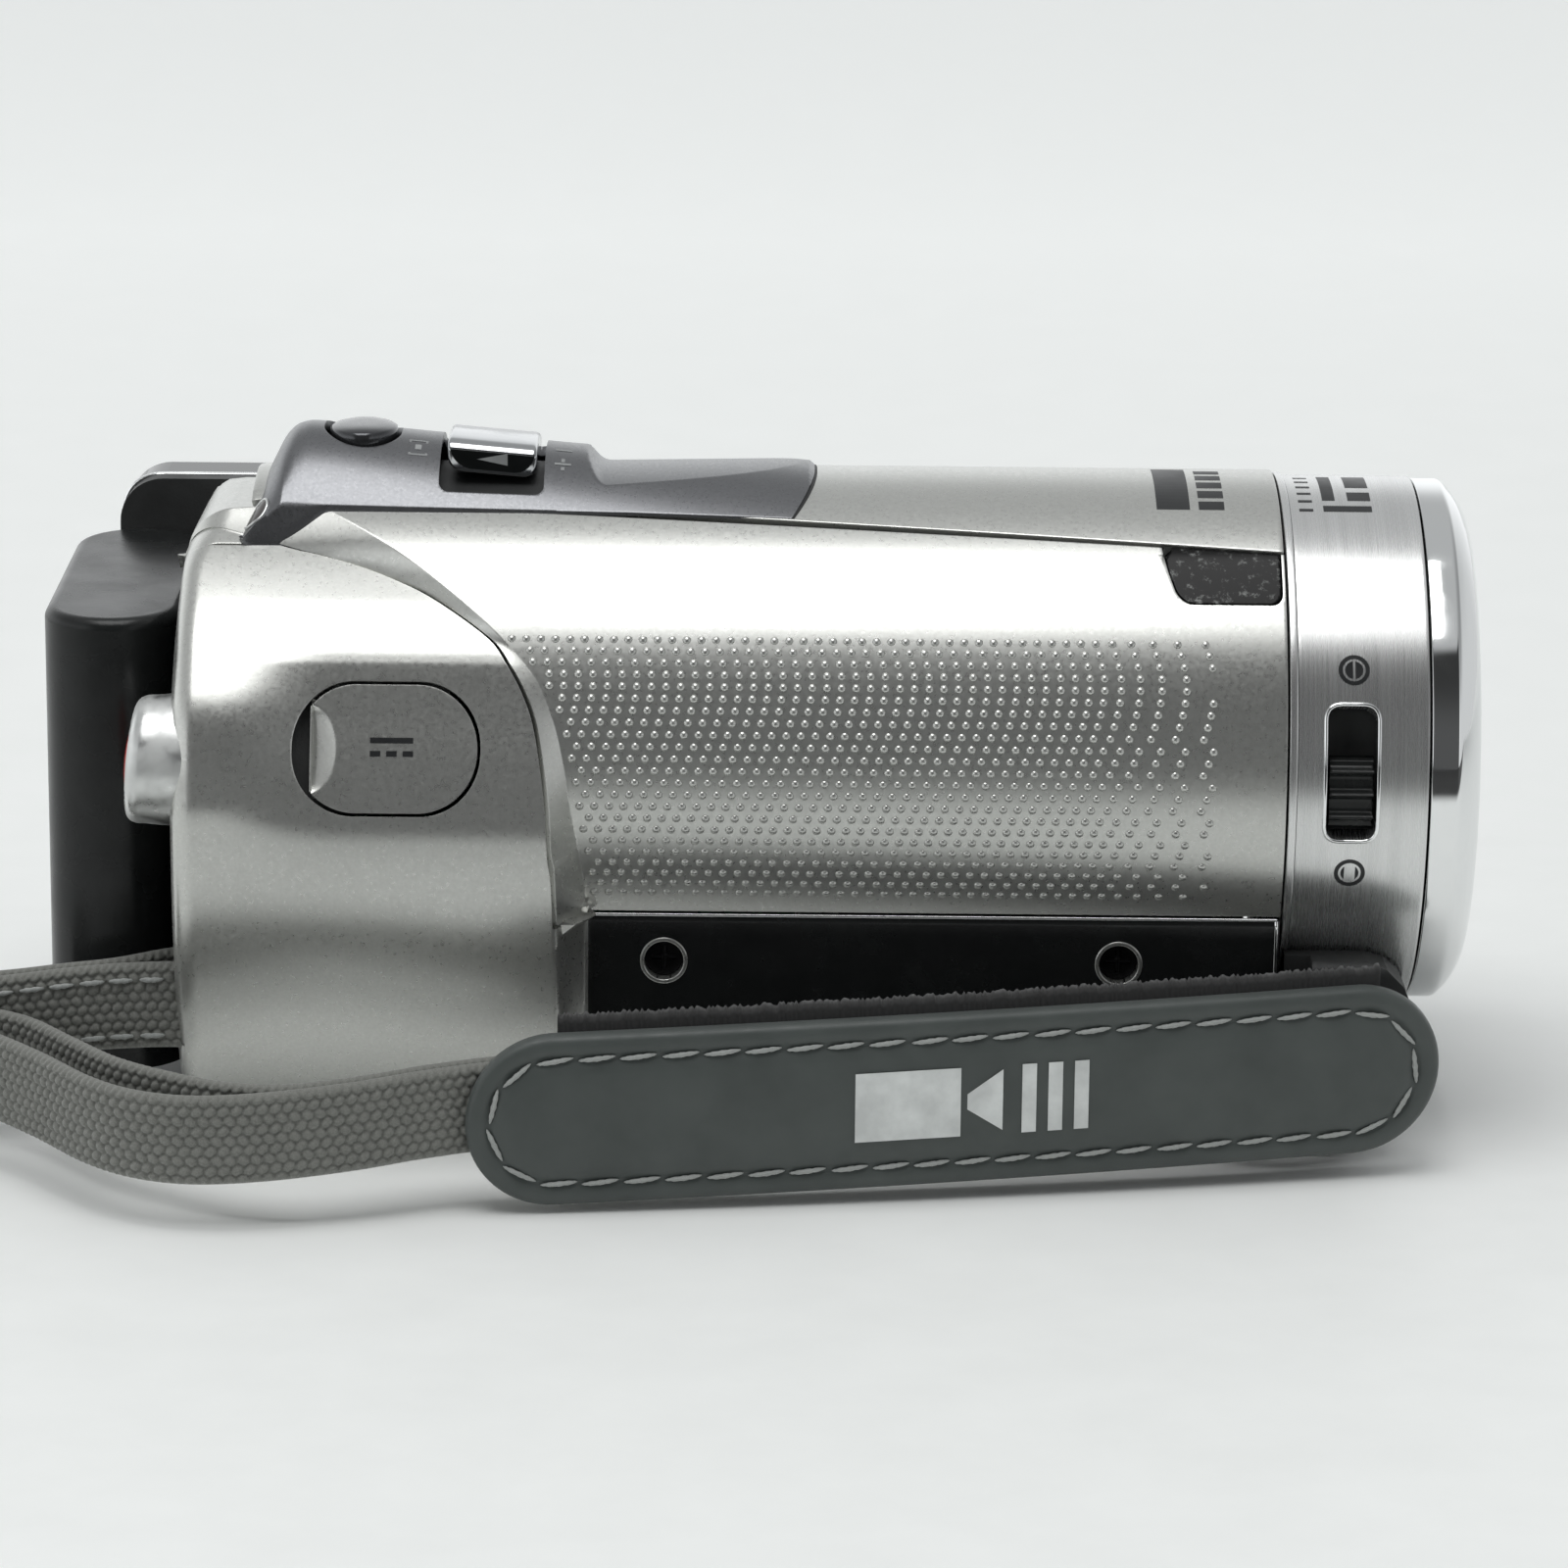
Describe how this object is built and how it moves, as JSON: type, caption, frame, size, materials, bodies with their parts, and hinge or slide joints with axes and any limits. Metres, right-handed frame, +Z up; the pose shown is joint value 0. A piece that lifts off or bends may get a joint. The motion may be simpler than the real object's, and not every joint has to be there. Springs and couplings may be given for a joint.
{
  "type": "camcorder",
  "caption": "Palm-sized camcorder with a round lens barrel, swing-out screen, rear battery, thumb record button, zoom lever, sliding lens cover and padded hand strap.",
  "frame": {"origin": "centre of the tripod socket's mouth, in the flat base plane", "axes": "+X where the lens looks, +Y the operator's left (the screen side), +Z up, along the tripod screw into the camera"},
  "size_m": [0.1276, 0.0687, 0.054],
  "materials": {
    "silver_shell": "metallic silver paint on plastic",
    "dark_deck": "dark gunmetal paint on plastic",
    "black_gloss": "polished black plastic",
    "black_matte": "fine grained black plastic",
    "chrome_trim": "mirror chrome",
    "satin_ring": "lathe-turned satin aluminium",
    "steel": "stamped steel",
    "cast_frame": "die-cast frame",
    "brass_insert": "plated threaded insert",
    "circuit_board": "green solder mask",
    "optical_glass": "coated lens glass",
    "screen_glass": "dark display window",
    "red_button": "red gloss plastic",
    "lamp_lens": "smoked lamp lens",
    "webbing": "woven grey strap webbing",
    "pad_leather": "stitched dark grey leatherette",
    "pad_lining": "black hook-and-loop lining"
  },
  "bodies": {
    "camera": {"side_cover": "silver_shell", "top_cover": "silver_shell", "rear_top_cover": "silver_shell", "right_shell": "silver_shell", "left_cover": "silver_shell", "base_cover": "black_matte", "rear_panel": "black_matte", "front_bracket": "black_matte", "control_deck": "dark_deck", "chassis_frame": "cast_frame", "tripod_socket": "brass_insert", "side_screws": "steel", "base_screws": "steel", "main_board": "circuit_board", "sensor_mount": "cast_frame", "sensor_board": "circuit_board", "lens_tube": "black_matte", "guide_rods": "steel", "front_lens": "optical_glass", "trim_ring": "satin_ring", "satin_ring": "satin_ring", "chrome_ring": "chrome_trim", "front_bezel": "black_matte", "barrier_plate": "black_matte", "mic_windows": "black_gloss", "microphones": "steel", "speaker": "black_matte", "status_lamp": "lamp_lens", "dc_jack": "black_matte", "battery_terminal": "black_matte", "card_slot": "steel", "lcd_hinge_pin": "steel", "hinge_knuckles": "silver_shell", "strap_bars": "steel", "strap_pad": "pad_leather", "strap_lining": "pad_lining", "strap_webbing": "webbing"},
    "screen": {"lcd_back_cover": "black_gloss", "lcd_bezel": "black_matte", "lcd_glass": "screen_glass", "lcd_hinge_block": "black_matte"},
    "zoom_switch": {"zoom_lever": "chrome_trim"},
    "shutter": {"shutter_button": "dark_deck"},
    "record": {"record_button": "chrome_trim", "record_dot": "red_button"},
    "dc_flap": {"dc_cover": "silver_shell"},
    "lens_cover_ring": {"drive_ring": "black_matte", "cover_knob": "black_gloss"},
    "lens_blade_upper": {"blade_upper": "black_gloss"},
    "lens_blade_lower": {"blade_lower": "black_gloss"},
    "battery": {"battery_pack": "black_gloss"},
    "latch": {"battery_latch": "black_matte"},
    "card_flap": {"card_door": "black_matte"},
    "rear_key": {"key_rear": "black_matte"},
    "middle_key": {"key_middle": "black_matte"},
    "front_key": {"key_front": "black_matte"},
    "zoom_group": {"zoom_cell": "black_matte", "zoom_lens": "optical_glass"},
    "focus_group": {"focus_cell": "black_matte", "focus_lens": "optical_glass"}
  },
  "joints": [
    {"name": "screen_swing", "type": "hinge", "parent": "camera", "child": "screen", "pos_m": [0.0195, 0.0222, 0.026], "axis": [0, 0, -1], "range_deg": [0, 90]},
    {"name": "zoom_slide", "type": "slide", "parent": "camera", "child": "zoom_switch", "axis": [0, 1, 0], "range_m": [-0.0015, 0.0015], "stiffness_N_per_m": 400},
    {"name": "shutter_press", "type": "slide", "parent": "camera", "child": "shutter", "axis": [0, 0, -1], "range_m": [0, 0.0007], "stiffness_N_per_m": 700},
    {"name": "record_press", "type": "slide", "parent": "camera", "child": "record", "axis": [1, 0, 0], "range_m": [0, 0.0008], "stiffness_N_per_m": 700},
    {"name": "dc_flap_swing", "type": "hinge", "parent": "camera", "child": "dc_flap", "pos_m": [-0.0233, -0.0243, 0.0328], "axis": [0, 0, 1], "range_deg": [0, 90]},
    {"name": "lens_cover_turn", "type": "hinge", "parent": "camera", "child": "lens_cover_ring", "pos_m": [0.043, 0, 0.0288], "axis": [-1, 0, 0], "range_deg": [0, 8]},
    {"name": "blade_upper_slide", "type": "slide", "parent": "camera", "child": "lens_blade_upper", "axis": [0, 0, -1], "range_m": [0, 0.0066]},
    {"name": "blade_lower_slide", "type": "slide", "parent": "camera", "child": "lens_blade_lower", "axis": [0, 0, 1], "range_m": [0, 0.0066]},
    {"name": "battery_slide", "type": "slide", "parent": "camera", "child": "battery", "axis": [-1, 0, 0], "range_m": [0, 0.03]},
    {"name": "latch_slide", "type": "slide", "parent": "camera", "child": "latch", "axis": [0, 1, 0], "range_m": [0, 0.002], "stiffness_N_per_m": 300},
    {"name": "card_flap_swing", "type": "hinge", "parent": "camera", "child": "card_flap", "pos_m": [0.03, -0.002, 0], "axis": [0, -1, 0], "range_deg": [0, 90]},
    {"name": "zoom_drive", "type": "slide", "parent": "camera", "child": "zoom_group", "axis": [1, 0, 0], "range_m": [-0.005, 0.009]},
    {"name": "focus_drive", "type": "slide", "parent": "camera", "child": "focus_group", "axis": [1, 0, 0], "range_m": [-0.0015, 0.0015]},
    {"name": "rear_key_press", "type": "slide", "parent": "camera", "child": "rear_key", "axis": [0, -1, 0], "range_m": [0, 0.0004], "stiffness_N_per_m": 600},
    {"name": "middle_key_press", "type": "slide", "parent": "camera", "child": "middle_key", "axis": [0, -1, 0], "range_m": [0, 0.0004], "stiffness_N_per_m": 600},
    {"name": "front_key_press", "type": "slide", "parent": "camera", "child": "front_key", "axis": [0, -1, 0], "range_m": [0, 0.0004], "stiffness_N_per_m": 600}
  ],
  "couplings": [
    {"joint": "blade_upper_slide", "follows": "lens_cover_turn", "m_per_rad": 0.04655},
    {"joint": "blade_lower_slide", "follows": "lens_cover_turn", "m_per_rad": 0.04655}
  ]
}
